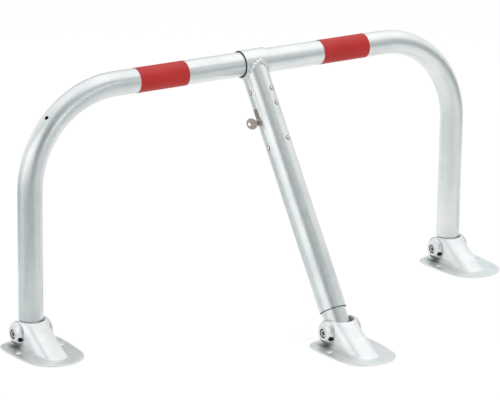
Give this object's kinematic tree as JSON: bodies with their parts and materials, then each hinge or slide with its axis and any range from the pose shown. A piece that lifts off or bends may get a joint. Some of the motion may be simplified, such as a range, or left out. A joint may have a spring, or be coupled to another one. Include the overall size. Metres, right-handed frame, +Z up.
{
  "type": "parking space barrier",
  "caption": "Folding parking barrier: bent tube hoop with red bands, a lockable telescopic strut and cast shoes bolted to the ground.",
  "frame": {"origin": "on the ground, at the bottom centre of the whole barrier's box", "axes": "+X along the rail from the lock's side, +Y to the rear where the hoop folds down, +Z up"},
  "size_m": [1.4202, 0.6021, 0.6475],
  "materials": {
    "galvanised_tube": "hot-dip galvanised, semi-matt with soft streaks",
    "galvanised_casting": "hot-dip galvanised, smooth and bright",
    "zinc_steel": "zinc plated",
    "red_film": "satin self-adhesive film",
    "nickel_brass": "nickel plated, satin",
    "black_plastic": "moulded, matt"
  },
  "bodies": {
    "ground_shoes": {"left_shoe": "galvanised_casting", "left_pivot_bolt": "zinc_steel", "left_pivot_nut": "zinc_steel", "right_shoe": "galvanised_casting", "right_pivot_bolt": "zinc_steel", "right_pivot_nut": "zinc_steel"},
    "hoop": {"hoop_tube": "galvanised_tube", "left_red_band": "red_film", "right_red_band": "red_film", "left_cross_sleeve": "zinc_steel", "right_cross_sleeve": "zinc_steel"},
    "upper_strut": {"tee_sleeve": "galvanised_tube", "left_sleeve_bush": "black_plastic", "right_sleeve_bush": "black_plastic", "strut_guide_ring": "black_plastic", "strut_outer_tube": "galvanised_tube", "lock_carrier": "black_plastic", "lock_cover": "black_plastic", "carrier_screws": "zinc_steel", "lock_cylinder": "nickel_brass"},
    "lower_strut": {"strut_inner_tube": "galvanised_tube", "strut_keeper": "zinc_steel", "centre_cross_sleeve": "zinc_steel"},
    "centre_foot": {"centre_shoe": "galvanised_casting", "centre_pivot_bolt": "zinc_steel", "centre_pivot_nut": "zinc_steel"},
    "key_core": {"lock_core": "nickel_brass", "lock_cam": "zinc_steel", "key": "nickel_brass"},
    "bolt": {"lock_bolt": "zinc_steel"}
  },
  "joints": [
    {"name": "hoop_fold", "type": "hinge", "parent": "ground_shoes", "child": "hoop", "pos_m": [0, 0.261, 0.036], "axis": [-1, 0, 0], "range_deg": [0, 90]},
    {"name": "tee_swivel", "type": "hinge", "parent": "hoop", "child": "upper_strut", "pos_m": [0, 0.261, 0.614], "axis": [1, 0, 0], "range_deg": [0, 33.96]},
    {"name": "strut_slide", "type": "slide", "parent": "upper_strut", "child": "lower_strut", "axis": [0, -0.5583, -0.8296], "range_m": [0, 0.27039]},
    {"name": "foot_pivot", "type": "hinge", "parent": "lower_strut", "child": "centre_foot", "pos_m": [0, -0.128, 0.036], "axis": [1, 0, 0], "range_deg": [0, 56.08]},
    {"name": "key_turn", "type": "hinge", "parent": "upper_strut", "child": "key_core", "pos_m": [0, 0.17502, 0.48624], "axis": [-1, 0, 0], "range_deg": [0, 90]},
    {"name": "bolt_slide", "type": "slide", "parent": "upper_strut", "child": "bolt", "axis": [0, -0.8296, 0.5583], "range_m": [0, 0.01278]}
  ],
  "couplings": [
    {"joint": "tee_swivel", "follows": "hoop_fold", "ratio": 0.37712},
    {"joint": "strut_slide", "follows": "hoop_fold", "m_per_rad": 0.17207},
    {"joint": "foot_pivot", "follows": "hoop_fold", "ratio": 0.62288},
    {"joint": "bolt_slide", "follows": "key_turn", "m_per_rad": 0.0081028}
  ]
}
